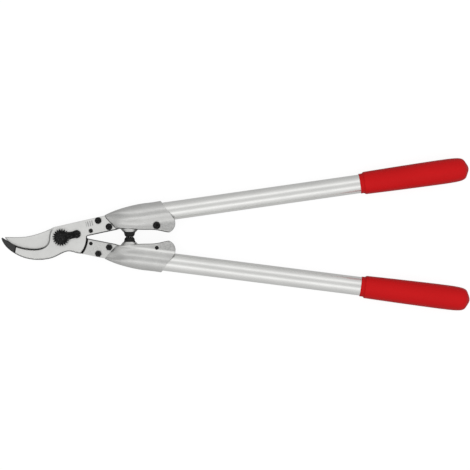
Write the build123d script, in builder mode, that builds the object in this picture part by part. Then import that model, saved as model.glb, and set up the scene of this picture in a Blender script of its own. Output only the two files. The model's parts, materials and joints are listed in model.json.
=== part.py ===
"""Two-handed bypass lopper with tubular handles, closed and lying flat on its grips.

Two plates cross at one pivot: the hook plate runs to the handle on +Y, the cutting blade to the
handle on -Y. The two brackets are one casting, used twice, turned over about the long axis.
"""
from build123d import *
from math import cos, hypot, radians, sin, tan
import os

# ---- whole tool -------------------------------------------------------------------------------
OVERALL = 630.0
JAW_REACH = 80.7  # pivot axis to the tip of the hook
PIVOT_X = JAW_REACH - OVERALL / 2
GRIP_R = 16.55
MID_Z = GRIP_R  # the plane between the two plates, with the tool lying on its grips
SPLAY = 7.67  # degrees between each tube and the middle line, closed
AXIS_RISE = 14.85  # distance of each tube axis from the middle line, at the pivot

# ---- plates and pivot -------------------------------------------------------------------------
PLATE_T = 4.0
PLATE_GAP = 0.15  # from the middle plane to either plate
PLATE_TOP = PLATE_GAP + PLATE_T
RUN_GAP = 0.3  # between faces that slide past each other
OUTER_EDGE = (-9.7, 14.0)  # a point of the straight outer edge of plate and tongue
OUTER_SLOPE = 0.2182
INNER_EDGE = (36.3, 1.9)  # a point of their straight inner edge
INNER_SLOPE = 0.2045
HUB_R = 34.2  # round end of each plate, about the pivot
HUB_END = -40.0  # degrees, where that round end stops
HUB_GAP = 1.6  # between it and the other half's tongue
HUB_CORNER_X = HUB_R - 0.05  # where the tang's inner edge meets the round end
CORNER_R = 1.2
BREAK = 0.45  # chamfer round the rest of the hook's face
SHANK_R = 6.0
BUSH_R = 7.5
RUNNING_CLEARANCE = 0.05
THREAD_R = 5.0
HEAD_R = 11.0
HEAD_T = 3.6
HEAD_CHAMFER = (1.6, 0.9)
HEAD_KEY = 8.0  # across the flats of its hexagon socket
HEAD_KEY_DEPTH = 2.2
THREAD_CHAMFER = 0.6
SLOT_WIDTH = 1.4  # screwdriver slot in the bolt's end
SLOT_DEPTH = 1.2
SLOT_TURN = 45.0  # degrees between that slot and the lock segment
BEVEL = 7.5  # width of the ground bevel on the blade
BEVEL_LAND = 0.3  # thickness left at the cutting edge
LIP = 2.0  # chamfer along the hook's lip
LIP_DEPTH = 1.0
FACET_BORDER = (-61.2, -15.0)  # middle of the line where the ground facet on the hook's tip begins
FACET_LEAN = 10.5  # degrees between that line and straight across
FACET_LENGTH = 21.7  # from that line to the tip
FACET_DROP = 1.9  # how far the facet falls away at the tip

# ---- toothed nut and its lock -----------------------------------------------------------------
TEETH = 20
TOOTH_TIP_R = 12.0
TOOTH_ROOT_R = 8.9
TOOTH_PHASE = 11.6  # degrees, the direction of the lock segment and of one tooth
WASHER_T = 0.6
WASHER_R = 8.4
NUT_T = 3.0
NUT_BOSS_R = 6.9
NUT_BOSS_T = 0.7
NUT_BOSS_CHAMFER = 0.5
BOLT_END = 0.6  # bolt beyond the nut
SEGMENT_T = 3.0
SEGMENT_REACH = 21.3  # pivot axis to the lock screw
SEGMENT_END_R = 5.4
SEGMENT_WAIST_X = 16.65  # pivot axis to the narrowest part of its arm
SEGMENT_WAIST = 4.7  # half width of its arm there
SEGMENT_FLARE = 5.3  # half width at its teeth
SEGMENT_FOOT = 9.0  # the arm starts this far from the pivot axis
SEGMENT_CHAMFER = 0.4
MESH_GAP = 0.25
LOCK_HEAD_R = 4.3
LOCK_HEAD_T = 2.1
LOCK_HEAD_ROUND = 1.3

# ---- fasteners in each half -------------------------------------------------------------------
BOLT_SPOTS = [(49.8, 22.3), (64.4, 13.8)]
M5_R = 2.5
M5_HOLE_R = 2.65
BOLT_HEAD_R = 4.5
BOLT_HEAD_T = 2.6
BOLT_HEAD_ROUND = 1.1
NUT_FLATS = 8.0
HEX_NUT_T = 3.8
NUT_CHAMFER_R = 3.75  # where the chamfer of a nut's face begins
THREAD_OUT = 0.9
KEY_R = 1.7  # hexagon socket
KEY_DEPTH = 1.2
PIN_SPOT = (39.8, 8.55)
PIN_R = 2.5
PIN_PROUD = 0.4
PIN_MARK_R = 0.9
PIN_MARK_DEPTH = 0.7
CLAMP_SPOT = (128.7, 15.0)
CLAMP_HEAD_R = 4.95
CLAMP_HEAD_T = 3.2
CLAMP_HEAD_ROUND = 1.4
CLAMP_KEY_R = 2.2
CLAMP_KEY_DEPTH = 1.8

# ---- bracket casting, tube, grip, buffer ------------------------------------------------------
TUBE_R = 12.5
TUBE_WALL = 1.5
SOCKET_R = 15.0
SOCKET_START = 110.0  # all distances along a tube are from the pivot
TUBE_END = 546.5
SHOULDER = ((58.2, 29.3), (75.2, 10.2))  # outer and inner end of the step from tongue to body
FLANGE = 10.0  # half height of the flat flange beside the barrel
ROUND = 0.5523  # pull of a curve's handles that makes it a quarter of an ellipse
# room for the plate beside the shoulder line, which passes through its first two corners
ROOM = [(50.1, 38.3), (83.3, 1.0), (20.0, -20.0), (20.0, 40.0)]
# outer edge, inner edge, half height over the tube axis, half height of the flange and squareness
RAMP = [
    (*SHOULDER, 4.6, 4.6, 0.85),
    ((66.4, 33.2), (79.8, 11.0), 8.0, 7.6, 0.85),
    ((75.2, 36.6), (87.0, 10.6), 11.3, 9.4, 0.76),
    ((86.5, 40.0), (96.4, 10.1), 14.0, 10.0, 0.63),
]
# distance along the tube, and width of the flange from the tube axis
BARREL = [(107.0, 19.9), (120.0, 21.8), (132.0, 25.1), (143.0, 28.7), (160.0, 29.2)]
DIP = 17.0  # from the tube axis to where the barrel's side has flattened into the flange
DIP_PULL = 0.4  # how far the dip keeps level at its two ends
RIM_R = 2.4
RIM = 3.8  # least width of the flange's flat and rounded rim
END_CUT = ((128.5, 55.4), (152.6, 23.0))  # the slanting end of the barrel
LUG_END = ((153.2, 18.0), (149.6, 8.9), (140.0, 4.7))  # round end of the clamp lug
SCRAP_FAR = ((175.0, 60.0), (175.0, -5.0), (140.0, -5.0))  # corners of what is cut off beyond those
CUT_OVER = 2.0  # how far each cut passes beyond the casting
TONGUE_ROOT = (84.0, 13.0)  # the tongue runs this far into the body
TONGUE_END = (27.9, 20.0)  # outer end of the tongue in x, and degrees of the middle of its hollow
SPOT_FACE_R = 5.6
SPOT_FACE = 9.2  # height of the spot face under the clamp screw's head
SLIT_HALF = 0.7
SLIT_LENGTH = 60.0
SLIT_DEPTH = 40.0
BOSS_X = 91.7
BOSS_FACE = 6.8  # distance of the boss face from the middle line
BOSS_R = 8.7
BOSS_FOOT = 10.9
BOSS_FOOT_RX = 12.2
BOSS_FOOT_RZ = 9.2
BOSS_ROOT = 6.0  # how far the boss runs on into the body
BOSS_WAIST = 8.3  # distance of its waist from the middle line
BOSS_WAIST_RX = 10.0
BOSS_WAIST_RZ = 8.9
BUFFER_GAP = 0.15  # buffer face to the middle line
# radius and distance from the middle line, from the buffer's foot on the boss to its face
BUFFER_SIDE = [(8.2, BOSS_FACE), (7.35, 5.4), (7.1, 4.0), (6.4, 1.9), (4.9, BUFFER_GAP)]
STEM_R = 3.0
STEM_LENGTH = 6.5
GRIP_START = 406.0
GRIP_END = 554.25
# distance from the grip's start, and radius: the thin collar, its shoulder and the swelling body
GRIP_COLLAR = [(0.0, 13.2), (4.5, 13.3), (5.5, 14.5)]
GRIP_SHOULDER = [(5.5, 14.5), (6.8, 15.0), (9.0, 15.25)]
GRIP_BODY = [(9.0, 15.25), (34.0, 15.7), (61.0, 16.1), (109.0, GRIP_R)]
GRIP_CAP = [(109.0, GRIP_R), (132.0, 15.95), (141.5, 13.6), (145.5, 8.0), (GRIP_END - GRIP_START, 0.0)]
# directions of the profile at both ends of the body and of the cap
GRIP_BODY_ENDS = ((1.0, 0.02), (1.0, 0.0))
GRIP_CAP_ENDS = ((1.0, 0.0), (0.0, -1.0))
PLUG_LENGTH = 10.0


def half(side, z=0.0):
    """Plane of one half, z above its middle plane; 1 is the hook's half, -1 the blade's, turned over."""
    return Plane(origin=(PIVOT_X, 0, MID_Z + side * z), x_dir=(1, 0, 0), z_dir=(0, 0, side))


def handle(side, z=0.0):
    """The same plane with its X along the tube axis and its Y away from the other handle."""
    turn = radians(SPLAY)
    return Plane(
        origin=(PIVOT_X, side * AXIS_RISE, MID_Z + side * z),
        x_dir=(cos(turn), side * sin(turn), 0),
        z_dir=(0, 0, side),
    )


def section(side, outer, inner):
    """Upright plane through two points of a half's outline; X runs from the inner to the outer."""
    dx = outer[0] - inner[0]
    dy = outer[1] - inner[1]
    return Plane(
        origin=(PIVOT_X + (outer[0] + inner[0]) / 2, side * (outer[1] + inner[1]) / 2, MID_Z),
        x_dir=(dx, side * dy, 0),
        z_dir=(dy, -side * dx, 0),
    )


def along(side, distance):
    """Plane square to the tube at a distance along it."""
    turn = radians(SPLAY)
    x = distance * cos(turn)
    y = AXIS_RISE + distance * sin(turn)
    return section(side, (x - sin(turn), y + cos(turn)), (x + sin(turn), y - cos(turn)))


def facing(side, y):
    """Plane at the boss, looking at the other handle from y off the middle line."""
    return Plane(origin=(PIVOT_X + BOSS_X, side * y, MID_Z), x_dir=(1, 0, 0), z_dir=(0, -side, 0))


def on_circle(radius, degrees):
    return (radius * cos(radians(degrees)), radius * sin(radians(degrees)))


def outer_line(x):
    """Straight outer edge of plate and tongue."""
    return OUTER_EDGE[1] + OUTER_SLOPE * (x - OUTER_EDGE[0])


def inner_line(x):
    """Straight inner edge of plate and tongue."""
    return INNER_EDGE[1] + INNER_SLOPE * (x - INNER_EDGE[0])


def plate_outline(edge, back):
    """Closed outline of a plate: its working edge, the shared tang and round end, and its back."""
    hub_corner = (HUB_CORNER_X, inner_line(HUB_CORNER_X))
    shoulder_top = (SHOULDER[0][0], outer_line(SHOULDER[0][0]))
    shoulder_foot = SHOULDER[1]
    with BuildLine() as outline:
        Spline(*edge)
        Line(edge[-1], shoulder_top)
        Line(shoulder_top, shoulder_foot)
        Line(shoulder_foot, hub_corner)
        ThreePointArc(hub_corner, on_circle(HUB_R, HUB_END / 2), on_circle(HUB_R, HUB_END))
        Spline(on_circle(HUB_R, HUB_END), *back)
        Line(back[-1], edge[0])
    return outline


def round_hub_corner(plate, side):
    """Round the upright edge between a plate's tang and its round end."""
    corner = (PIVOT_X + HUB_CORNER_X, side * inner_line(HUB_CORNER_X), MID_Z)
    fillet(plate.edges().filter_by(Axis.Z).sort_by_distance(corner)[0], CORNER_R)


def plate_holes(side):
    """The holes of bolts and pin, through plate or tongue."""
    with BuildSketch(half(side, -PLATE_TOP)) as holes:
        with Locations(*BOLT_SPOTS):
            Circle(M5_HOLE_R)
        with Locations(PIN_SPOT):
            Circle(PIN_R)
    return holes


def star(tip_r, root_r):
    """Corner points of the nut's ring of V teeth."""
    pitch = 360 / TEETH
    points = []
    for tooth in range(TEETH):
        angle = TOOTH_PHASE + tooth * pitch
        points.append(on_circle(tip_r, angle))
        points.append(on_circle(root_r, angle + pitch / 2))
    return points


def write(part, name):
    part.label = name
    export_step(part, f"parts/{name}.step")


# ---- hook plate -------------------------------------------------------------------------------
HOOK_LIP = [
    (-80.0, 0.5),
    (-75.2, -2.4),
    (-65.8, -8.3),
    (-52.3, -13.3),
    (-38.8, -15.0),
    (-26.2, -13.7),
    (-20.1, -10.2),
    (-17.3, -5.2),
    (-16.4, 1.9),
    (-14.8, 7.8),
    (-11.1, outer_line(-11.1)),
]
HOOK_BACK = [
    (19.6, -20.9),
    (10.0, -18.8),
    (0.8, -21.4),
    (-10.0, -26.6),
    (-28.9, -30.0),
    (-48.5, -27.5),
    (-67.3, -18.1),
    (-77.7, -7.6),
    (-80.7, -0.9),
]


def hook_plate():
    with BuildPart() as hook:
        with BuildSketch(half(1, PLATE_GAP)):
            add(plate_outline(HOOK_LIP, HOOK_BACK).line)
            make_face()
            Circle(SHANK_R, mode=Mode.SUBTRACT)
            with Locations(on_circle(SEGMENT_REACH, TOOTH_PHASE)):
                Circle(M5_R, mode=Mode.SUBTRACT)
        extrude(amount=PLATE_T)
        round_hub_corner(hook, 1)
        splines = hook.edges().filter_by(GeomType.BSPLINE).group_by(Axis.Z)[-1]
        lip = splines.sort_by(Axis.Y)[-1]
        rest = hook.faces().sort_by(Axis.Z)[-1].outer_wire().edges() - [lip]
        chamfer(rest, length=BREAK)
        splines = hook.edges().filter_by(GeomType.BSPLINE).group_by(Axis.Z)[-1]
        lip = splines.sort_by(Axis.Y)[-1]
        chamfer(lip, length=LIP, length2=LIP_DEPTH, reference=hook.faces().sort_by(Axis.Z)[-1])
        # ground facet that thins the tip
        lean = radians(FACET_LEAN)
        border = (PIVOT_X + FACET_BORDER[0], FACET_BORDER[1], MID_Z + PLATE_TOP)
        along_border = (-sin(lean), -cos(lean), 0)
        with BuildSketch(Plane(origin=border, x_dir=(cos(lean), -sin(lean), 0), z_dir=along_border)):
            Polygon((0, 0), (-2 * FACET_LENGTH, 0), (-2 * FACET_LENGTH, -2 * FACET_DROP), align=None)
        extrude(amount=FACET_LENGTH, both=True, mode=Mode.SUBTRACT)
        extrude(plate_holes(1).sketch, amount=2 * PLATE_TOP, mode=Mode.SUBTRACT)
    return hook.part


# ---- cutting blade ----------------------------------------------------------------------------
BLADE_EDGE = [
    (-75.9, 0.4),
    (-70.0, 6.6),
    (-60.0, 13.0),
    (-48.0, 17.8),
    (-36.0, 19.9),
    (-24.0, 18.4),
    (-12.5, outer_line(-12.5)),
]
BLADE_BACK = [
    (14.0, -18.3),
    (3.0, -16.4),
    (-9.7, -13.6),
    (-20.5, -9.1),
    (-36.2, -3.8),
    (-48.2, -1.4),
    (-62.0, -0.8),
    (-75.7, -1.1),
]


def cutting_blade():
    with BuildPart() as blade:
        with BuildSketch(half(-1, PLATE_GAP)):
            add(plate_outline(BLADE_EDGE, BLADE_BACK).line)
            make_face()
            Circle(BUSH_R, mode=Mode.SUBTRACT)
        extrude(amount=PLATE_T)
        round_hub_corner(blade, -1)
        splines = blade.edges().filter_by(GeomType.BSPLINE).group_by(Axis.Z)[0]
        edge = splines.sort_by(Axis.Y)[0]
        flank = blade.faces().sort_by(Axis.Z)[0]
        chamfer(edge, length=BEVEL, length2=PLATE_T - BEVEL_LAND, reference=flank)
        extrude(plate_holes(-1).sketch, amount=2 * PLATE_TOP, mode=Mode.SUBTRACT)
    return blade.part


# ---- pivot ------------------------------------------------------------------------------------
def pivot_bush():
    with BuildPart() as bush:
        with BuildSketch(half(-1, PLATE_GAP)):
            Circle(BUSH_R)
            Circle(SHANK_R + RUNNING_CLEARANCE, mode=Mode.SUBTRACT)
        extrude(amount=PLATE_T)
    return bush.part


def pivot_bolt():
    head_face = PLATE_TOP + RUN_GAP
    tip = PLATE_TOP + WASHER_T + NUT_T + NUT_BOSS_T + BOLT_END
    with BuildPart() as bolt:
        with BuildSketch(half(1, -head_face - HEAD_T)):
            Circle(HEAD_R)
        extrude(amount=HEAD_T)
        chamfer(bolt.edges().group_by(Axis.Z)[0], length=HEAD_CHAMFER[0], length2=HEAD_CHAMFER[1])
        with BuildSketch(half(1, -head_face - HEAD_T)):
            RegularPolygon(HEAD_KEY / 2, 6, major_radius=False)
        extrude(amount=HEAD_KEY_DEPTH, mode=Mode.SUBTRACT)
        with BuildSketch(half(1, -head_face)):
            Circle(SHANK_R)
        extrude(amount=head_face + PLATE_TOP)
        with BuildSketch(half(1, PLATE_TOP)):
            Circle(THREAD_R)
        extrude(amount=tip - PLATE_TOP)
        chamfer(bolt.edges().group_by(Axis.Z)[-1], length=THREAD_CHAMFER)
        with BuildSketch(half(1, tip)):
            Rectangle(2 * THREAD_R, SLOT_WIDTH, rotation=TOOTH_PHASE + SLOT_TURN)
        extrude(amount=-SLOT_DEPTH, mode=Mode.SUBTRACT)
    return bolt.part


def pivot_washer():
    with BuildPart() as washer:
        with BuildSketch(half(1, PLATE_TOP)):
            Circle(WASHER_R)
            Circle(THREAD_R, mode=Mode.SUBTRACT)
        extrude(amount=WASHER_T)
    return washer.part


def pivot_nut():
    with BuildPart() as nut:
        with BuildSketch(half(1, PLATE_TOP + WASHER_T)):
            Polygon(*star(TOOTH_TIP_R, TOOTH_ROOT_R), align=None)
        extrude(amount=NUT_T)
        with BuildSketch(half(1, PLATE_TOP + WASHER_T + NUT_T)):
            Circle(NUT_BOSS_R)
        extrude(amount=NUT_BOSS_T)
        chamfer(nut.edges().group_by(Axis.Z)[-1], length=NUT_BOSS_CHAMFER)
        with BuildSketch(half(1, PLATE_TOP)):
            Circle(THREAD_R)
        extrude(amount=WASHER_T + NUT_T + NUT_BOSS_T, mode=Mode.SUBTRACT)
    return nut.part


def lock_segment():
    toward = half(1, PLATE_TOP).rotated((0, 0, TOOTH_PHASE))
    with BuildPart() as segment:
        with BuildSketch(toward):
            with Locations((SEGMENT_REACH, 0)):
                Circle(SEGMENT_END_R)
            # slightly waisted arm that flares at its toothed end
            with BuildLine():
                Spline(
                    (SEGMENT_REACH, SEGMENT_END_R),
                    (SEGMENT_WAIST_X, SEGMENT_WAIST),
                    (SEGMENT_FOOT, SEGMENT_FLARE),
                )
                Line((SEGMENT_FOOT, SEGMENT_FLARE), (SEGMENT_FOOT, 0))
                Line((SEGMENT_FOOT, 0), (SEGMENT_REACH, 0))
                Line((SEGMENT_REACH, 0), (SEGMENT_REACH, SEGMENT_END_R))
            make_face()
            mirror(about=Plane.XZ)
            with Locations((SEGMENT_REACH, 0)):
                Circle(M5_R, mode=Mode.SUBTRACT)
        extrude(amount=SEGMENT_T)
        chamfer(segment.faces().sort_by(Axis.Z)[-1].outer_wire().edges(), length=SEGMENT_CHAMFER)
        with BuildSketch(half(1, PLATE_TOP)):
            Polygon(*star(TOOTH_TIP_R + MESH_GAP, TOOTH_ROOT_R + MESH_GAP), align=None)
        extrude(amount=SEGMENT_T, mode=Mode.SUBTRACT)
    return segment.part


def lock_screw():
    seat = PLATE_TOP + SEGMENT_T
    spot = on_circle(SEGMENT_REACH, TOOTH_PHASE)
    with BuildPart() as lock:
        with BuildSketch(half(1, seat)):
            with Locations(spot):
                Circle(LOCK_HEAD_R)
        extrude(amount=LOCK_HEAD_T)
        fillet(lock.edges().group_by(Axis.Z)[-1], LOCK_HEAD_ROUND)
        with BuildSketch(half(1, seat + LOCK_HEAD_T)):
            with Locations(spot):
                RegularPolygon(KEY_R, 6, rotation=TOOTH_PHASE)
        extrude(amount=-KEY_DEPTH, mode=Mode.SUBTRACT)
        with BuildSketch(half(1, seat)):
            with Locations(spot):
                Circle(M5_R)
        extrude(amount=-(seat - PLATE_GAP - RUN_GAP))
    return lock.part


# ---- fasteners of one half --------------------------------------------------------------------
def plate_bolts(side):
    with BuildPart() as bolts:
        with BuildSketch(half(side, PLATE_TOP)):
            with Locations(*BOLT_SPOTS):
                Circle(BOLT_HEAD_R)
        extrude(amount=BOLT_HEAD_T)
        circles = bolts.edges().filter_by(GeomType.CIRCLE).sort_by(Axis.Z, reverse=side < 0)
        fillet(circles[-2:], BOLT_HEAD_ROUND)
        with BuildSketch(half(side, PLATE_TOP + BOLT_HEAD_T)):
            with Locations(*BOLT_SPOTS):
                RegularPolygon(KEY_R, 6)
        extrude(amount=-KEY_DEPTH, mode=Mode.SUBTRACT)
        with BuildSketch(half(side, PLATE_TOP)):
            with Locations(*BOLT_SPOTS):
                Circle(M5_R)
        extrude(amount=-(2 * PLATE_TOP + HEX_NUT_T + THREAD_OUT))
    return bolts.part


def plate_nuts(side):
    with BuildPart() as nuts:
        with BuildSketch(half(side, -PLATE_TOP)):
            with Locations(*BOLT_SPOTS):
                RegularPolygon(NUT_FLATS / 2, 6, major_radius=False, rotation=SPLAY)
            with Locations(*BOLT_SPOTS):
                Circle(M5_R, mode=Mode.SUBTRACT)
        extrude(amount=-HEX_NUT_T)
        # 30 degree chamfer across the corners of the outer face
        beyond = NUT_FLATS / 2 / cos(radians(30)) + RUN_GAP
        fall = (beyond - NUT_CHAMFER_R) * tan(radians(30))
        face = -PLATE_TOP - HEX_NUT_T
        for spot in BOLT_SPOTS:
            centre = (PIVOT_X + spot[0], side * spot[1], MID_Z)
            with BuildSketch(Plane(origin=centre, x_dir=(1, 0, 0), z_dir=(0, -side, 0))):
                Polygon((NUT_CHAMFER_R, face), (beyond, face), (beyond, face + fall), align=None)
            revolve(axis=Axis(centre, (0, 0, 1)), mode=Mode.SUBTRACT)
    return nuts.part


def dowel_pin(side):
    """Pin that locates plate and tongue, with a centre mark in both ends."""
    with BuildPart() as pin:
        with BuildSketch(half(side, -PLATE_TOP - PIN_PROUD)):
            with Locations(PIN_SPOT):
                Circle(PIN_R)
        extrude(amount=2 * (PLATE_TOP + PIN_PROUD))
        chamfer(pin.edges().filter_by(GeomType.CIRCLE), length=PIN_PROUD)
        for end in (1, -1):
            with BuildSketch(half(side, end * (PLATE_TOP + PIN_PROUD))):
                with Locations(PIN_SPOT):
                    Circle(PIN_MARK_R)
            extrude(amount=-end * PIN_MARK_DEPTH, mode=Mode.SUBTRACT)
    return pin.part


def clamp_screw(side):
    with BuildPart() as clamp:
        with BuildSketch(half(side, SPOT_FACE)):
            with Locations(CLAMP_SPOT):
                Circle(CLAMP_HEAD_R)
        extrude(amount=CLAMP_HEAD_T)
        circles = clamp.edges().filter_by(GeomType.CIRCLE).sort_by(Axis.Z, reverse=side < 0)
        fillet(circles[-1], CLAMP_HEAD_ROUND)
        with BuildSketch(half(side, SPOT_FACE + CLAMP_HEAD_T)):
            with Locations(CLAMP_SPOT):
                RegularPolygon(CLAMP_KEY_R, 6)
        extrude(amount=-CLAMP_KEY_DEPTH, mode=Mode.SUBTRACT)
        with BuildSketch(half(side, SPOT_FACE)):
            with Locations(CLAMP_SPOT):
                Circle(M5_R)
        extrude(amount=-2 * SPOT_FACE)
    return clamp.part


# ---- bracket ----------------------------------------------------------------------------------
def across(distance, offset):
    """Outline point at a distance along the tube and an offset from its axis, inwards positive."""
    turn = radians(SPLAY)
    return (distance * cos(turn) + offset * sin(turn), AXIS_RISE + distance * sin(turn) - offset * cos(turn))


def casting_section(side, outer, inner, crest, flange, squareness):
    """Section of the casting: rounded over the tube axis, dipping to a flat flange with a round rim."""
    width = hypot(outer[0] - inner[0], outer[1] - inner[1])
    slope = tan(radians(SPLAY))
    # share of the section that lies outside the tube axis
    share = (outer[1] - AXIS_RISE - slope * outer[0]) / (outer[1] - inner[1] - slope * (outer[0] - inner[0]))
    outer_x = width / 2
    inner_x = -outer_x
    axis_x = outer_x - share * width
    shoulder_x = axis_x + squareness * (outer_x - axis_x)
    dip = min(DIP, axis_x - inner_x - RIM)
    flat_x = axis_x - dip
    rim_x = inner_x + RIM_R
    with BuildSketch(section(side, outer, inner)) as outline:
        with BuildLine():
            with BuildLine():
                Bezier((outer_x, 0), (outer_x, squareness * crest), (shoulder_x, crest), (axis_x, crest))
                dip_pulls = ((axis_x - DIP_PULL * dip, crest), (flat_x + DIP_PULL * dip, flange))
                Bezier((axis_x, crest), *dip_pulls, (flat_x, flange))
                Line((flat_x, flange), (rim_x, flange))
                RadiusArc((rim_x, flange), (inner_x, flange - RIM_R), -RIM_R)
            mirror(about=Plane.XZ)
            Line((inner_x, flange - RIM_R), (inner_x, RIM_R - flange))
        make_face()
    return outline.sketch


def casting_sections(side):
    """The ramp that grows from the shoulder, then the barrel with its flange."""
    sections = [casting_section(side, *ramp) for ramp in RAMP]
    for distance, flange_width in BARREL:
        ends = (across(distance, -SOCKET_R), across(distance, flange_width))
        sections.append(casting_section(side, *ends, SOCKET_R, FLANGE, ROUND))
    return sections


def bracket(side):
    with BuildPart() as cast:
        loft(casting_sections(side))
        # slanting end of the barrel and round end of the lug
        with BuildSketch(half(side, -SOCKET_R - CUT_OVER)):
            with BuildLine():
                Polyline(LUG_END[0], END_CUT[1], END_CUT[0], *SCRAP_FAR, LUG_END[2])
                ThreePointArc(*reversed(LUG_END))
            make_face()
        extrude(amount=2 * (SOCKET_R + CUT_OVER), mode=Mode.SUBTRACT)
        # boss that carries the buffer
        with BuildSketch(facing(side, BOSS_FOOT + BOSS_ROOT)):
            Ellipse(BOSS_FOOT_RX, BOSS_FOOT_RZ)
        extrude(amount=BOSS_ROOT)
        with BuildSketch(facing(side, BOSS_FOOT)):
            Ellipse(BOSS_FOOT_RX, BOSS_FOOT_RZ)
        with BuildSketch(facing(side, BOSS_WAIST)):
            Ellipse(BOSS_WAIST_RX, BOSS_WAIST_RZ)
        with BuildSketch(facing(side, BOSS_FACE)):
            Circle(BOSS_R)
        loft()
        # room for the plate above the tongue
        with BuildSketch(half(side, PLATE_GAP)):
            Polygon(*ROOM, align=None)
        extrude(amount=SOCKET_R + CUT_OVER, mode=Mode.SUBTRACT)
        # tongue beside the other half's round end
        top_x = SHOULDER[0][0]
        foot_x = SHOULDER[1][0]
        corner_x = HUB_CORNER_X + HUB_GAP
        inner_end = (corner_x, inner_line(corner_x))
        outer_end = (TONGUE_END[0], outer_line(TONGUE_END[0]))
        with BuildSketch(half(side, -PLATE_TOP)):
            with BuildLine():
                Polyline(
                    inner_end,
                    (foot_x, inner_line(foot_x)),
                    TONGUE_ROOT,
                    (top_x, outer_line(top_x)),
                    outer_end,
                )
                ThreePointArc(outer_end, on_circle(HUB_R + HUB_GAP, TONGUE_END[1]), inner_end)
            make_face()
        extrude(amount=PLATE_TOP + PLATE_GAP)
        extrude(plate_holes(side).sketch, amount=2 * PLATE_TOP, mode=Mode.SUBTRACT)
        # tube socket, clamp slit and screw hole
        with BuildSketch(along(side, SOCKET_START)):
            Circle(TUBE_R)
        extrude(amount=SLIT_LENGTH, mode=Mode.SUBTRACT)
        with BuildSketch(handle(side, -SLIT_HALF)):
            with Locations((SOCKET_START, CUT_OVER - TUBE_R)):
                Rectangle(SLIT_LENGTH, SLIT_DEPTH, align=(Align.MIN, Align.MAX))
        extrude(amount=2 * SLIT_HALF, mode=Mode.SUBTRACT)
        with BuildSketch(half(side, -SOCKET_R)):
            with Locations(CLAMP_SPOT):
                Circle(M5_HOLE_R)
        extrude(amount=2 * SOCKET_R, mode=Mode.SUBTRACT)
        with BuildSketch(half(side, SPOT_FACE)):
            with Locations(CLAMP_SPOT):
                Circle(SPOT_FACE_R)
        extrude(amount=SOCKET_R, mode=Mode.SUBTRACT)
        # socket of the buffer's stem
        with BuildSketch(facing(side, BOSS_FACE)):
            Circle(STEM_R)
        extrude(amount=-STEM_LENGTH, mode=Mode.SUBTRACT)
    return cast.part


# ---- tube, plug, grip, buffer -----------------------------------------------------------------
def tube(side):
    with BuildPart() as pipe:
        with BuildSketch(along(side, SOCKET_START)):
            Circle(TUBE_R)
            Circle(TUBE_R - TUBE_WALL, mode=Mode.SUBTRACT)
        extrude(amount=TUBE_END - SOCKET_START)
    return pipe.part


def end_plug(side):
    with BuildPart() as plug:
        with BuildSketch(along(side, TUBE_END - PLUG_LENGTH)):
            Circle(TUBE_R - TUBE_WALL)
        extrude(amount=PLUG_LENGTH)
    return plug.part


def from_start(points):
    """Points of the grip's profile, moved from its start to their distance along the tube."""
    return [(GRIP_START + distance, radius) for distance, radius in points]


def grip(side):
    frame = handle(side)
    with BuildPart() as sleeve:
        with BuildSketch(frame):
            with BuildLine():
                Polyline((TUBE_END, 0), (TUBE_END, TUBE_R), (GRIP_START, TUBE_R), *from_start(GRIP_COLLAR))
                ThreePointArc(*from_start(GRIP_SHOULDER))
                Spline(*from_start(GRIP_BODY), tangents=GRIP_BODY_ENDS)
                Spline(*from_start(GRIP_CAP), tangents=GRIP_CAP_ENDS)
                Line((GRIP_END, 0), (TUBE_END, 0))
            make_face()
        revolve(axis=Axis(frame.origin, frame.x_dir))
    return sleeve.part


def buffer(side):
    with BuildPart() as rubber:
        with BuildSketch(Plane(origin=(PIVOT_X + BOSS_X, 0, MID_Z), x_dir=(1, 0, 0), z_dir=(0, 0, side))):
            with BuildLine():
                Polyline(
                    (0, BUFFER_GAP),
                    (0, BOSS_FACE + STEM_LENGTH),
                    (STEM_R, BOSS_FACE + STEM_LENGTH),
                    (STEM_R, BOSS_FACE),
                    BUFFER_SIDE[0],
                )
                Spline(*BUFFER_SIDE)
                Line(BUFFER_SIDE[-1], (0, BUFFER_GAP))
            make_face()
        revolve(axis=Axis((PIVOT_X + BOSS_X, 0, MID_Z), (0, 1, 0)))
    return rubber.part


os.makedirs("parts", exist_ok=True)
write(hook_plate(), "hook_plate")
write(cutting_blade(), "cutting_blade")
write(pivot_bush(), "pivot_bush")
write(pivot_bolt(), "pivot_bolt")
write(pivot_washer(), "pivot_washer")
write(pivot_nut(), "pivot_nut")
write(lock_segment(), "lock_segment")
write(lock_screw(), "lock_screw")
for half_name, half_side in (("upper", 1), ("lower", -1)):
    write(bracket(half_side), f"{half_name}_bracket")
    write(tube(half_side), f"{half_name}_tube")
    write(end_plug(half_side), f"{half_name}_end_plug")
    write(grip(half_side), f"{half_name}_grip")
    write(buffer(half_side), f"{half_name}_buffer")
    write(plate_bolts(half_side), f"{half_name}_plate_bolts")
    write(plate_nuts(half_side), f"{half_name}_plate_nuts")
    write(dowel_pin(half_side), f"{half_name}_dowel_pin")
    write(clamp_screw(half_side), f"{half_name}_clamp_screw")
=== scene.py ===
"""Two-handed bypass lopper on a pale studio floor, seen from straight above.

The CAD nodes carry the shape. This script gives each of them its material, remakes the vinyl
grips and the rubber buffers as fine lathed meshes, and sets up the floor, the light and the camera.
"""

import json
from math import atan2, cos, pi, radians, sin, tau

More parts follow.
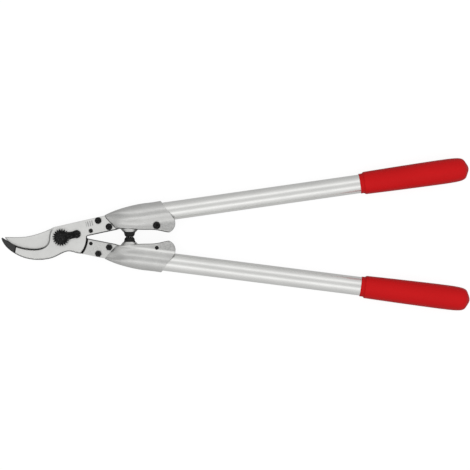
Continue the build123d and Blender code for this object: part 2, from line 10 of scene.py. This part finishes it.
import bmesh
import bpy
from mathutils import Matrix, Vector


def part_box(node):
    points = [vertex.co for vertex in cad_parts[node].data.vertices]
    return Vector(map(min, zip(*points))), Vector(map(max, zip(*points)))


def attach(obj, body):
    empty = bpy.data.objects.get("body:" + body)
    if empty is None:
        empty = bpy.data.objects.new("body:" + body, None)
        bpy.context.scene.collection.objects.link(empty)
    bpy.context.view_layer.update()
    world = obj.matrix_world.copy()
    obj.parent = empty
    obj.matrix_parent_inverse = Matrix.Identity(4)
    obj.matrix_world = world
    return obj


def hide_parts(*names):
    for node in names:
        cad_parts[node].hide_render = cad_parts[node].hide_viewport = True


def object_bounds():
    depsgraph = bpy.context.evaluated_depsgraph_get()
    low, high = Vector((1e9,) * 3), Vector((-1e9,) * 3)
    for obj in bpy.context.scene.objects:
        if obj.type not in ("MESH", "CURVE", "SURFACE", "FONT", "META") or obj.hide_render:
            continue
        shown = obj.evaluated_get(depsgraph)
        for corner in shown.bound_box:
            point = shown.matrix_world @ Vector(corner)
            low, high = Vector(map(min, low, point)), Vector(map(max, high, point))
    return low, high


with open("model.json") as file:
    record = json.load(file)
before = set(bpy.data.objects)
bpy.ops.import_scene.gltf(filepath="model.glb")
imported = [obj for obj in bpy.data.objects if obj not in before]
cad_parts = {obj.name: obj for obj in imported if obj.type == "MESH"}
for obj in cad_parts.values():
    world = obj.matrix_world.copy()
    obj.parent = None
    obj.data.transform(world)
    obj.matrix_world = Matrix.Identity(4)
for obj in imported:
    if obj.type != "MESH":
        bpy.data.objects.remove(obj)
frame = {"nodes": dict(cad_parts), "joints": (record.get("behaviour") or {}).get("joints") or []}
cad_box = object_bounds()
PIVOT = Vector(frame["joints"][0]["pos_m"])
MM = 0.001


# ---- frame helpers ----------------------------------------------------------------------------
class Handle:
    """The axis of one handle, read from its tube: a point on it, its direction and its angle."""

    def __init__(self, half):
        self.side = 1 if half == "upper" else -1
        places = [v.co for v in frame["nodes"][f"{half}_tube"].data.vertices]
        middle = sum(p.x for p in places) / len(places)
        ends = []
        for end in ([p for p in places if p.x < middle], [p for p in places if p.x > middle]):
            ends.append(sum(end, Vector()) / len(end))
        self.direction = (ends[1] - ends[0]).normalized()
        self.point = ends[0]
        self.angle = atan2(self.direction.y, self.direction.x)

    def span(self, node):
        """(start, end, largest radius) of a node, measured along and about the axis."""
        places = [v.co - self.point for v in frame["nodes"][node].data.vertices]
        along = [p.dot(self.direction) for p in places]
        off = [(p - self.direction * s).length for p, s in zip(places, along)]
        return min(along), max(along), max(off)


HANDLES = {half: Handle(half) for half in ("upper", "lower")}
BODIES = {"upper": "hook_side", "lower": "blade_side"}


# ---- mesh helpers -----------------------------------------------------------------------------
def new_object(name, bm, material, smooth=True):
    mesh = bpy.data.meshes.new(name)
    bm.to_mesh(mesh)
    bm.free()
    for face in mesh.polygons:
        face.use_smooth = smooth
    mesh.materials.append(material)
    obj = bpy.data.objects.new(name, mesh)
    bpy.context.scene.collection.objects.link(obj)
    return obj


def smooth_curve(points, steps):
    """Catmull-Rom curve through the points, with steps spans between each two."""
    padded = [points[0], *points, points[-1]]
    curve = []
    for a, b, c, d in zip(padded, padded[1:], padded[2:], padded[3:]):
        for k in range(steps):
            t = k / steps
            place = []
            for p, q, r, s in zip(a, b, c, d):
                square = 2 * p - 5 * q + 4 * r - s
                cube = 3 * q - p - 3 * r + s
                place.append(0.5 * (2 * q + (r - p) * t + square * t**2 + cube * t**3))
            curve.append(tuple(place))
    curve.append(points[-1])
    return curve


def lathe(name, profile, point, direction, material, segments):
    """Closed surface of revolution; profile is (distance along, radius), both ends on the axis."""
    turn = Vector((1, 0, 0)).rotation_difference(direction).to_matrix()
    bm = bmesh.new()
    rings = []
    for along, radius in profile[1:-1]:
        ring = []
        for k in range(segments):
            a = tau * k / segments
            ring.append(bm.verts.new(point + turn @ Vector((along, radius * cos(a), radius * sin(a)))))
        rings.append(ring)
    poles = [bm.verts.new(point + direction * profile[i][0]) for i in (0, -1)]
    for ring, following in zip(rings, rings[1:]):
        for k in range(segments):
            n = (k + 1) % segments
            bm.faces.new((ring[k], ring[n], following[n], following[k]))
    for k in range(segments):
        n = (k + 1) % segments
        bm.faces.new((rings[0][n], rings[0][k], poles[0]))
        bm.faces.new((rings[-1][k], rings[-1][n], poles[1]))
    bmesh.ops.recalc_face_normals(bm, faces=bm.faces)
    return new_object(name, bm, material)


# ---- material helpers -------------------------------------------------------------------------
class Shade:
    """One material under construction: nodes are made by name, and their outputs are passed on."""

    def __init__(self, name, **sockets):
        self.material = bpy.data.materials.new(name)
        self.material.use_nodes = True
        self.tree = self.material.node_tree
        self.shader = self.tree.nodes["Principled BSDF"]
        for key, value in sockets.items():
            self.shader.inputs[key.replace("_", " ")].default_value = value

    def add(self, kind, inputs=None, **props):
        node = self.tree.nodes.new(f"ShaderNode{kind}")
        for key, value in props.items():
            setattr(node, key, value)
        for key, value in (inputs or {}).items():
            self.feed(node.inputs[key], value)
        return node

    def feed(self, socket, value):
        if isinstance(value, bpy.types.NodeSocket):
            self.tree.links.new(value, socket)
        else:
            socket.default_value = value

    def set(self, name, value):
        self.feed(self.shader.inputs[name], value)

    def math(self, operation, a, b=0.0, clamp=False):
        return self.add("Math", {0: a, 1: b}, operation=operation, use_clamp=clamp).outputs[0]

    def coords(self, angle=0.0, stretch=(1, 1, 1)):
        """Object coordinates turned so that X lies at the angle, then scaled."""
        place = self.add("TexCoord").outputs["Object"]
        turned = self.add("VectorRotate", {"Vector": place, "Angle": -angle}, rotation_type="Z_AXIS")
        return self.add(
            "VectorMath", {0: turned.outputs[0], 1: stretch}, operation="MULTIPLY"
        ).outputs[0]

    def noise(self, vector, scale, detail=3.0, roughness=0.55):
        return self.add(
            "TexNoise",
            {
                "Vector": vector,
                "Scale": scale,
                "Detail": detail,
                "Roughness": roughness,
            },
        ).outputs["Fac"]

    def spread(self, value, low, high, to_low=0.0, to_high=1.0):
        """value from low..high to to_low..to_high, clamped."""
        return self.add(
            "MapRange",
            {"Value": value, "From Min": low, "From Max": high, "To Min": to_low, "To Max": to_high},
        ).outputs[0]

    def mix(self, factor, a, b):
        return self.add("Mix", {"Factor": factor, "A": a, "B": b}, data_type="RGBA").outputs["Result"]

    def edges(self, radius, none=0.995, full=0.86):
        """1 near sharp edges and 0 on flats, by comparing a rounded normal with the true one."""
        rounded = self.add("Bevel", {"Radius": radius}, samples=6).outputs[0]
        flat = self.add("NewGeometry").outputs["Normal"]
        same = self.add("VectorMath", {0: rounded, 1: flat}, operation="DOT_PRODUCT").outputs["Value"]
        return self.spread(same, none, full)

    def upward(self):
        """Z of the surface's own normal: 1 facing up, 0 upright, -1 facing down."""
        normal = self.add("NewGeometry").outputs["Normal"]
        return self.add("SeparateXYZ", {0: normal}).outputs["Z"]

    def place(self, origin, angle=0.0):
        """X, Y and Z in millimetres from an origin, with X at the angle."""
        moved = self.add(
            "VectorMath", {0: self.add("TexCoord").outputs["Object"], 1: tuple(origin)}, operation="SUBTRACT"
        ).outputs[0]
        turned = self.add("VectorRotate", {"Vector": moved, "Angle": -angle}, rotation_type="Z_AXIS")
        in_mm = self.add("VectorMath", {0: turned.outputs[0], "Scale": 1 / MM}, operation="SCALE").outputs[0]
        return self.add("SeparateXYZ", {0: in_mm}).outputs

    def band(self, value, low, high, soft):
        """1 between low and high, 0 outside, with soft edges."""
        return self.math(
            "MULTIPLY",
            self.spread(value, low - soft, low + soft),
            self.spread(value, high - soft, high + soft, 1.0, 0.0),
        )

    def product(self, *factors):
        value = factors[0]
        for factor in factors[1:]:
            value = self.math("MULTIPLY", value, factor)
        return value

    def bump(self, *layers):
        """Chained bumps, each (height, distance in metres, strength)."""
        normal = None
        for height, distance, strength in layers:
            node = self.add("Bump", {"Height": height, "Distance": distance, "Strength": strength})
            if normal is not None:
                self.feed(node.inputs["Normal"], normal)
            normal = node.outputs[0]
        self.set("Normal", normal)


def grey(value, tint=(1.0, 1.0, 1.0)):
    return tuple(value * t for t in tint) + (1.0,)


WARM = (1.0, 1.0, 0.98)
TANG_ANGLE = radians(11.7)  # between each tang and the middle line
FACET_BORDER = (-61.2, -15.0)  # mm, middle of the line where the hook's tip facet begins
FACET_LEAN = radians(-10.5)
GAP_INNER = 33.6  # mm, the gap beyond the round end of each plate, from the pivot
GAP_OUTER = 36.4


def notch_line(s, x, y, side):
    """1 in a narrow line along the edge that a plate and a tongue turn to the other handle."""
    inward = s.math("SUBTRACT", s.math("MULTIPLY", y, side), s.math("MULTIPLY", x, 0.2045))
    return s.product(s.spread(inward, -4.6, -3.9, 1.0, 0.0), s.band(x, 35.0, 82.0, 1.0))


def pivot_radius(s, x, y):
    """Distance from the pivot's axis, in millimetres."""
    squares = s.math("ADD", s.math("MULTIPLY", x, x), s.math("MULTIPLY", y, y))
    return s.math("POWER", squares, 0.5)


def ground_steel(name, angle, edge_z, half_side, rim_shade):
    """Fine-ground plate at the angle: painted shade on walls, chamfers and rims, painted shadow in the round
    gap.

    Faces whose normal rises less than edge_z are walls or chamfers. rim_shade gives how dark the
    painted shade is on the walls and on the rim of a broad face, as a function of place.
    """
    s = Shade(name, Metallic=1.0)
    lines = s.noise(s.coords(angle, (1.0, 0.03, 1.0)), 5200.0, detail=2.0)
    cloud = s.noise(s.coords(), 55.0, detail=4.0)
    blotch = s.noise(s.coords(), 420.0, detail=4.0)
    up = s.upward()
    broad = s.spread(s.math("ABSOLUTE", up), edge_z - 0.02, edge_z + 0.02)
    x, y, _ = s.place(PIVOT)
    radius = pivot_radius(s, x, y)
    # the other half's tongue lies on this face, beyond the gap
    toward = s.spread(s.math("MULTIPLY", up, -half_side), 0.5, 0.9)
    gap_shadow = s.product(s.band(radius, GAP_INNER, GAP_OUTER, 0.2), toward, s.spread(x, 15.0, 20.0))
    wall, rim = rim_shade(s, x, y)
    base = s.mix(s.spread(cloud, 0.3, 0.7), grey(0.83, WARM), grey(0.89, WARM))
    base = s.mix(s.math("MULTIPLY", s.spread(lines, 0.35, 0.65), 0.18), base, grey(0.68, WARM))
    base = s.mix(s.math("MULTIPLY", s.spread(blotch, 0.5, 0.75), 0.12), base, grey(0.64, WARM))
    # painted shade: walls and chamfers are darkened
    base = s.mix(s.product(s.spread(broad, 0, 1, 1, 0), wall), base, grey(0.035))
    # painted shade: a dark line along the rims of the broad faces
    base = s.mix(s.product(broad, s.edges(2.0 * MM, 0.999, 0.93), rim), base, grey(0.03))
    # painted shadow: the face under the round gap is made near black
    base = s.mix(gap_shadow, base, grey(0.006))
    s.set("Base Color", base)
    s.set("Roughness", s.spread(lines, 0.3, 0.7, 0.40, 0.50))
    s.bump((lines, 0.02 * MM, 0.35), (cloud, 0.3 * MM, 0.10))
    return s, base


def hook_rim_shade(s, x, y):
    """Painted shade on the chamfers but for the tang's outer edge; it lessens on the lip as it turns up to
    the hub.
    """
    outer = s.math("SUBTRACT", y, s.math("MULTIPLY", x, 0.218))
    tang_edge = s.product(s.spread(outer, 12.0, 14.0), s.spread(x, -16.0, -8.0))
    near_hub = s.spread(x, -26.0, -13.0)
    before_tang = s.spread(x, 0.0, 20.0, 1.0, 0.0)
    pale_lip = s.product(near_hub, s.spread(y, -19.0, -16.0), before_tang)
    rim = s.math("SUBTRACT", 1.0, s.math("MULTIPLY", tang_edge, 0.9))
    rim = s.math("SUBTRACT", rim, s.math("MULTIPLY", pale_lip, 0.6), clamp=True)
    return rim, s.product(rim, s.spread(pale_lip, 0.0, 0.5, 1.0, 0.0))


# strength of the painted shade on the blade's walls and rims
def blade_rim_shade(s, x, y):
    return 0.8, 0.7


def hook_steel():
    """The hook's steel, with its dark tip facet, painted shade along its edges and a field of plain bars
    stamped on the tang.
    """
    s, base = ground_steel("ground_steel_hook", TANG_ANGLE, 0.94, 1, hook_rim_shade)
    on_top = s.spread(s.upward(), 0.5, 0.9)
    x, y, _ = s.place(PIVOT)
    # painted shade along the edge that faces the other handle
    base = s.mix(s.product(notch_line(s, x, y, 1), 0.9), base, grey(0.03))
    # painted shade: a broad dark band along the back's arris, and along the round end beside the gap
    back = s.product(s.edges(3.0 * MM, 0.9995, 0.96), s.spread(y, -17.5, -15.5, 1.0, 0.0), 0.8)
    base = s.mix(back, base, grey(0.02))
    round_end = s.product(
        s.band(pivot_radius(s, x, y), 33.4, 35.0, 0.2),
        s.spread(x, 15.0, 20.0),
        s.spread(y, 0.5, 1.8, 1.0, 0.0),
        on_top,
    )
    base = s.mix(round_end, base, grey(0.02))
    # the tip facet is coloured dark grey, and a line of painted shade outlines it
    border = PIVOT + Vector((*FACET_BORDER, 0)) * MM
    past, _, _ = s.place(border, FACET_LEAN)
    grain = s.noise(s.coords(), 700.0, detail=3.0)
    tip = s.product(s.spread(past, -0.2, 0.2, 1.0, 0.0), on_top)
    outline = s.math("MAXIMUM", s.edges(2.0 * MM, 0.999, 0.93), s.band(past, -1.4, 0.2, 0.3))
    base = s.mix(tip, base, s.mix(s.spread(grain, 0.3, 0.7), grey(0.060), grey(0.090)))
    base = s.mix(s.product(tip, outline), base, grey(0.010))
    # stamped field: short upright bars
    u, v, _ = s.place(PIVOT, TANG_ANGLE)
    field = s.product(s.band(u, 36.2, 46.0, 0.4), s.band(v, 6.6, 13.6, 0.5), on_top)
    bars = s.band(s.math("FRACT", s.math("DIVIDE", u, 2.9)), 0.2, 0.74, 0.12)
    worn = s.spread(s.noise(s.coords(), 500.0, detail=2.0), 0.3, 0.6, 0.4, 1.0)
    base = s.mix(s.product(field, bars, worn, 0.75), base, grey(0.20))
    s.set("Base Color", base)
    return s.material


def black_steel(name, dark=0.001, light=0.004):
    """Blackened steel, satin, with a little wear at its edges made lighter as painted glints, and patches of
    painted sheen.
    """
    s = Shade(name, Specular_IOR_Level=0.15)
    grain = s.noise(s.coords(), 1500.0, detail=3.0)
    patch = s.noise(s.coords(), 260.0, detail=3.0)
    # edge wear, lightened further as a painted glint, in patches
    worn = s.math("MULTIPLY", s.edges(0.2 * MM), s.spread(patch, 0.35, 0.6))
    base = s.mix(s.spread(grain, 0.3, 0.7), grey(dark), grey(light))
    # painted sheen: scattered lighter patches
    painted_sheen = s.spread(s.noise(s.coords(), 520.0, detail=3.0), 0.52, 0.68)
    base = s.mix(s.product(painted_sheen, 0.6), base, grey(0.045))
    s.set("Base Color", s.mix(s.product(worn, 0.9), base, grey(0.11)))
    s.set("Roughness", s.spread(grain, 0.3, 0.7, 0.32, 0.48))
    s.bump((grain, 0.03 * MM, 0.4))
    return s.material


def cast_aluminium(name, handle):
    """Tumbled casting: gently wavy skin, fine grain, pale tongue and a sandy flat on the clamp lug."""
    s = Shade(name, Metallic=1.0)
    wave = s.noise(s.coords(handle.angle, (0.10, 1.0, 1.0)), 190.0, detail=1.0)
    grain = s.noise(s.coords(), 1100.0, detail=4.0, roughness=0.65)
    sand = s.noise(s.coords(), 620.0, detail=3.0, roughness=0.7)
    cloud = s.noise(s.coords(), 60.0, detail=4.0)
    worn = s.edges(0.5 * MM)
    along, across, _ = s.place(handle.point, handle.angle)
    inward = s.math("MULTIPLY", across, -handle.side)
    lug = s.product(s.spread(inward, 13.5, 16.5), s.spread(along, 17.0, 23.0))
    x, y, _ = s.place(PIVOT)
    shoulder = s.math("ADD", x, s.math("MULTIPLY", y, 0.89 * handle.side))
    tongue = s.spread(shoulder, 83.2, 83.8, 1.0, 0.0)
    base = s.mix(s.spread(cloud, 0.3, 0.7), grey(0.62, WARM), grey(0.69, WARM))
    base = s.mix(tongue, base, s.mix(s.spread(sand, 0.35, 0.65), grey(0.78, WARM), grey(0.94, WARM)))
    base = s.mix(s.math("MULTIPLY", s.spread(grain, 0.5, 0.62), 0.5), base, grey(0.44, WARM))
    pits = s.product(s.math("MAXIMUM", lug, s.math("MULTIPLY", tongue, 0.35)), s.spread(sand, 0.46, 0.56))
    base = s.mix(s.math("MULTIPLY", pits, 0.5), base, grey(0.36, WARM))
    # on the back of the flange, painted shade in a hollow and a strip of painted highlight beside it
    away = s.spread(s.math("MULTIPLY", s.upward(), -handle.side), 0.3, 0.6)
    back = s.product(away, s.spread(along, -32.0, -18.0))
    base = s.mix(s.product(back, s.band(inward, 5.4, 10.2, 1.5), 0.30), base, grey(0.36, WARM))
    base = s.mix(s.product(back, s.band(inward, 12.7, 15.6, 0.8), 0.65), base, grey(0.96, WARM))
    base = s.mix(s.math("MULTIPLY", worn, 0.25), base, grey(0.78, WARM))
    # painted shade: upright walls are darkened
    wall = s.spread(s.math("ABSOLUTE", s.upward()), 0.0, 0.35, 1.0, 0.0)
    base = s.mix(s.math("MULTIPLY", wall, 0.6), base, grey(0.16, WARM))
    # painted shade along the tongue's edge in the notch
    base = s.mix(s.product(notch_line(s, x, y, handle.side), tongue, 0.85), base, grey(0.04))
    # painted shadow on the tongue's edge beside the round gap
    hollow = s.spread(pivot_radius(s, x, y), 36.2, 36.6, 1.0, 0.0)
    base = s.mix(s.product(hollow, tongue, 0.9), base, grey(0.03))
    # painted shade: the upper casting's inner wall is darkened
    normal = s.add("NewGeometry").outputs["Normal"]
    turned = s.add("VectorRotate", {"Vector": normal, "Angle": -handle.angle}, rotation_type="Z_AXIS")
    inner_wall = s.spread(s.add("SeparateXYZ", {0: turned.outputs[0]}).outputs["Y"], -0.7, -0.2, 1.0, 0.0)
    skin = s.product(inner_wall, s.spread(inward, 12.0, 14.0), 0.8 if handle.side > 0 else 0.0)
    base = s.mix(skin, base, grey(0.05))
    s.set("Base Color", base)
    s.set("Roughness", s.spread(grain, 0.3, 0.7, 0.29, 0.39))
    s.bump((wave, 0.5 * MM, 0.35), (grain, 0.06 * MM, 0.8), (s.math("MULTIPLY", sand, lug), 0.25 * MM, 0.9))
    return s.material


def drawn_aluminium(name, angle):
    """Drawn tube, satin along its length."""
    s = Shade(name, Metallic=1.0)
    drawn = s.noise(s.coords(angle, (0.012, 1.0, 1.0)), 2600.0, detail=3.0)
    cloud = s.noise(s.coords(angle, (0.25, 1.0, 1.0)), 90.0, detail=4.0)
    base = s.mix(s.spread(cloud, 0.3, 0.7), grey(0.80, WARM), grey(0.86, WARM))
    base = s.mix(s.math("MULTIPLY", s.spread(drawn, 0.5, 0.75), 0.2), base, grey(0.68, WARM))
    s.set("Base Color", base)
    s.set("Roughness", s.spread(drawn, 0.3, 0.7, 0.24, 0.34))
    s.bump((drawn, 0.015 * MM, 0.4))
    return s.material


def red_vinyl(name, angle):
    """Dipped vinyl: soft gloss over a very fine skin, with painted shade darkening its sides."""
    s = Shade(name, Specular_IOR_Level=0.09)
    skin = s.noise(s.coords(), 900.0, detail=3.0)
    flow = s.noise(s.coords(angle, (0.3, 1.0, 1.0)), 40.0, detail=2.0)
    base = s.mix(s.spread(flow, 0.3, 0.7), (0.485, 0.0045, 0.0060, 1), (0.525, 0.0055, 0.0072, 1))
    # painted shade: the upright sides are darker
    side = s.spread(s.math("ABSOLUTE", s.upward()), 0.05, 0.75, 1.0, 0.0)
    s.set("Base Color", s.mix(s.product(side, 0.75), base, (0.26, 0.0035, 0.0048, 1)))
    s.set("Roughness", s.spread(skin, 0.3, 0.7, 0.40, 0.50))
    s.bump((skin, 0.05 * MM, 0.25), (flow, 0.5 * MM, 0.15))
    return s.material


def black_rubber(name):
    s = Shade(name, Specular_IOR_Level=0.3)
    skin = s.noise(s.coords(), 1400.0, detail=4.0)
    dust = s.noise(s.coords(), 300.0, detail=3.0)
    s.set("Base Color", s.mix(s.spread(dust, 0.4, 0.7), grey(0.004), grey(0.010)))
    s.set("Roughness", s.spread(skin, 0.3, 0.7, 0.50, 0.68))
    s.bump((skin, 0.06 * MM, 0.4))
    return s.material


def bare_metal(name, colour, roughness):
    s = Shade(name, Metallic=1.0)
    turned = s.noise(s.coords(0.0, (1.0, 1.0, 8.0)), 900.0, detail=2.0)
    s.set("Base Color", s.mix(s.spread(turned, 0.3, 0.7), colour, tuple(0.8 * c for c in colour[:3]) + (1,)))
    s.set("Roughness", s.spread(turned, 0.3, 0.7, roughness, roughness + 0.12))
    s.bump((turned, 0.02 * MM, 0.3))
    return s.material


# ---- materials on the CAD nodes ---------------------------------------------------------------
def paint(node, material):
    data = frame["nodes"][node].data
    data.materials.clear()
    data.materials.append(material)


paint("hook_plate", hook_steel())
paint("cutting_blade", ground_steel("ground_steel_blade", -TANG_ANGLE, 0.75, -1, blade_rim_shade)[0].material)

black = black_steel("black_steel")
for node in ("pivot_nut", "lock_segment", "lock_screw"):
    paint(node, black)
paint("pivot_bolt", black_steel("black_steel_pivot", 0.003, 0.010))
paint("pivot_bush", bare_metal("bronze", (0.50, 0.33, 0.15, 1), 0.3))
paint("pivot_washer", bare_metal("bare_steel", (0.60, 0.60, 0.59, 1), 0.3))

nut_black = black_steel("black_steel_nuts", 0.010, 0.024)
plastic = black_rubber("black_plastic")
rubber = black_rubber("black_rubber")
for half, handle in HANDLES.items():
    paint(f"{half}_bracket", cast_aluminium(f"cast_aluminium_{half}", handle))
    paint(f"{half}_tube", drawn_aluminium(f"drawn_aluminium_{half}", handle.angle))
    paint(f"{half}_end_plug", plastic)
    paint(f"{half}_plate_nuts", nut_black)
    for part in ("plate_bolts", "dowel_pin", "clamp_screw"):
        paint(f"{half}_{part}", black)


# ---- vinyl grips ------------------------------------------------------------------------------
# millimetres from the grip's start, and radius; the widest place comes from the CAD grip
GRIP_RISE = [(5.5, 14.45), (6.8, 14.95), (9.0, 15.2), (34.0, 15.65), (61.0, 16.05)]
GRIP_WIDEST = 109.0
GRIP_INSET = 0.2  # keeps the curve, which swings past its points, inside the CAD grip
GRIP_FALL = [(132.0, 15.9), (141.4, 13.5), (145.3, 8.0)]


def vinyl_grip(half):
    """Dipped sleeve: a thin collar on the tube, a swelling body and a soft rounded end."""
    handle = HANDLES[half]
    start, end, swell = handle.span(f"{half}_grip")
    tube_r = handle.span(f"{half}_tube")[2]
    collar = tube_r + 0.75 * MM
    body = [
        *[(start + s * MM, r * MM) for s, r in GRIP_RISE],
        (start + GRIP_WIDEST * MM, swell - GRIP_INSET * MM),
        *[(start + s * MM, r * MM) for s, r in GRIP_FALL],
        (end - 0.6 * MM, 3.0 * MM),
    ]
    neck = [
        (start - 0.02 * MM, tube_r - 0.3 * MM),
        (start, collar - 0.25 * MM),
        (start + 0.3 * MM, collar),
        (start + 4.2 * MM, collar + 0.05 * MM),
        (start + 4.8 * MM, collar + 0.25 * MM),
    ]
    profile = [(start, 0.0), *neck, *smooth_curve(body, 8), (end, 0.0)]
    material = red_vinyl(f"red_vinyl_{half}", handle.angle)
    grip = lathe(f"{half}_vinyl_grip", profile, handle.point, handle.direction, material, 128)
    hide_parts(f"{half}_grip")
    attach(grip, BODIES[half])


# ---- rubber buffers ---------------------------------------------------------------------------
BUFFER_PRESS = 0.12 * MM  # each reaches this far past its CAD face, so that the two seem to touch
BUFFER_HEIGHT = 6.77 * MM
# millimetres down from the foot, and by how much the radius is less than the foot's
BUFFER_DOME = [(0.6, 0.4), (1.4, 0.85), (2.8, 1.1), (4.9, 1.8)]


def rubber_buffer(half):
    """Rubber stop that tapers from its foot on the boss to a rounded tip with a flat face."""
    low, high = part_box(f"{half}_buffer")
    side = 1 if half == "upper" else -1
    tip = (low.y if side > 0 else -high.y) - BUFFER_PRESS
    radius = (high.x - low.x) / 2
    centre = Vector(((low.x + high.x) / 2, 0, (low.z + high.z) / 2))
    face = tip + BUFFER_HEIGHT
    stem = (high.y if side > 0 else -low.y) - 0.2 * MM
    dome = smooth_curve(
        [
            *[(face - down * MM, radius - less * MM) for down, less in BUFFER_DOME],
            (tip + 0.9 * MM, radius - 2.6 * MM),
            (tip + 0.15 * MM, radius - 3.2 * MM),
        ],
        6,
    )
    profile = [
        (stem, 0.0),
        (stem, 2.8 * MM),
        (face, 2.9 * MM),
        (face, radius - 0.3 * MM),
        (face - 0.3 * MM, radius),
        *dome,
        (tip, radius - 3.5 * MM),
        (tip, 0.0),
    ]
    piece = lathe(f"{half}_rubber_buffer", profile, centre, Vector((0, side, 0)), rubber, 64)
    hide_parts(f"{half}_buffer")
    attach(piece, BODIES[half])


for half in HANDLES:
    vinyl_grip(half)
    rubber_buffer(half)


# ---- floor, light and camera ------------------------------------------------------------------
FLOOR_GLOW = 0.90
FLOOR_DROP = 0.05 * MM
SOFTBOX_POWER = 12.0


def floor():
    """Pale paper, lit from below as well, so that what lies on it throws only a faint shadow."""
    s = Shade("floor_paper", Roughness=0.9, Specular_IOR_Level=0.2)
    fibre = s.noise(s.coords(), 400.0, detail=3.0)
    s.set("Base Color", s.mix(s.spread(fibre, 0.3, 0.7), grey(0.110), grey(0.120)))
    s.set("Emission Color", grey(1.0))
    s.set("Emission Strength", FLOOR_GLOW)
    s.bump((fibre, 0.1 * MM, 0.1))
    bm = bmesh.new()
    reach = 4.0
    corners = [bm.verts.new((x * reach, y * reach, 0)) for x, y in ((-1, -1), (1, -1), (1, 1), (-1, 1))]
    bm.faces.new(corners)
    paper = new_object("floor", bm, s.material, smooth=False)
    paper.location.z = cad_box[0].z - FLOOR_DROP
    # the tool is lit and mirrored by the studio's dim lower half instead of by the bright paper
    paper.visible_glossy = False
    paper.visible_diffuse = False


def overhead_softbox():
    """Large soft light above the tool; it lights matt surfaces but is not mirrored in metal."""
    light = bpy.data.lights.new("softbox", "AREA")
    light.shape = "RECTANGLE"
    light.size = 2.2
    light.size_y = 1.4
    light.energy = SOFTBOX_POWER
    lamp = bpy.data.objects.new("softbox", light)
    lamp.location = (0.0, -0.25, 1.7)
    lamp.rotation_euler = (radians(-8), 0, 0)
    lamp.visible_glossy = False
    bpy.context.scene.collection.objects.link(lamp)


# Brightness of the studio round the tool's long axis: (degrees from straight up, brightness).
STUDIO = [(0, 0.61), (16, 0.69), (34, 1.14), (48, 0.86), (66, 0.67), (90, 0.58), (115, 0.53), (180, 0.46)]

# direction from..to along the tool, and brightness from..to: dimmer beyond the jaws
STUDIO_ENDS = (-0.85, -0.30, 0.50, 1.0)
# direction from..to across the tool, and brightness from..to: brighter on the blade's side
STUDIO_LEAN = (-1.0, 1.0, 1.13, 1.02)


def studio_sky():
    """Grey studio with two long strip lights along the tool, dimmer towards the floor and the jaws."""
    world = bpy.data.worlds.new("studio")
    world.use_nodes = True
    tree = world.node_tree
    background = tree.nodes["Background"]

    def add(kind, *inputs, **props):
        node = tree.nodes.new(f"ShaderNode{kind}")
        for key, value in props.items():
            setattr(node, key, value)
        for socket, value in zip(node.inputs, inputs):
            if isinstance(value, bpy.types.NodeSocket):
                tree.links.new(value, socket)
            else:
                socket.default_value = value
        return node.outputs[0]

    direction = tree.nodes.new("ShaderNodeTexCoord").outputs["Generated"]
    split = tree.nodes.new("ShaderNodeSeparateXYZ")
    tree.links.new(direction, split.inputs[0])
    x, y, z = split.outputs
    off_up = add("Math", add("Math", y, operation="ABSOLUTE"), z, operation="ARCTAN2")
    ramp = tree.nodes.new("ShaderNodeValToRGB")
    ramp.color_ramp.interpolation = "EASE"
    while len(ramp.color_ramp.elements) < len(STUDIO):
        ramp.color_ramp.elements.new(0.5)
    for element, (degrees, level) in zip(ramp.color_ramp.elements, STUDIO):
        element.position = degrees / 180
        element.color = grey(level)
    tree.links.new(add("Math", off_up, pi, operation="DIVIDE"), ramp.inputs[0])
    ends = add("MapRange", x, *STUDIO_ENDS)
    lean = add("MapRange", y, *STUDIO_LEAN)
    dimming = add("Math", ends, lean, operation="MULTIPLY")
    level = add("Math", ramp.outputs[0], dimming, operation="MULTIPLY")
    tree.links.new(level, background.inputs["Color"])
    bpy.context.scene.world = world


def camera():
    """Straight above, long lens, turned by under half a degree as the photograph is."""
    distance = 2.6
    field = 0.6334
    sensor = 36.0
    lens = bpy.data.cameras.new("camera")
    lens.sensor_width = sensor
    lens.lens = sensor * distance / field
    eye = bpy.data.objects.new("camera", lens)
    eye.location = (-0.0005, 0.0014, PIVOT.z + distance)
    eye.rotation_euler = (0, 0, radians(-0.45))
    bpy.context.scene.collection.objects.link(eye)
    bpy.context.scene.camera = eye


floor()
studio_sky()
overhead_softbox()
camera()
bpy.context.scene.view_settings.view_transform = "Standard"
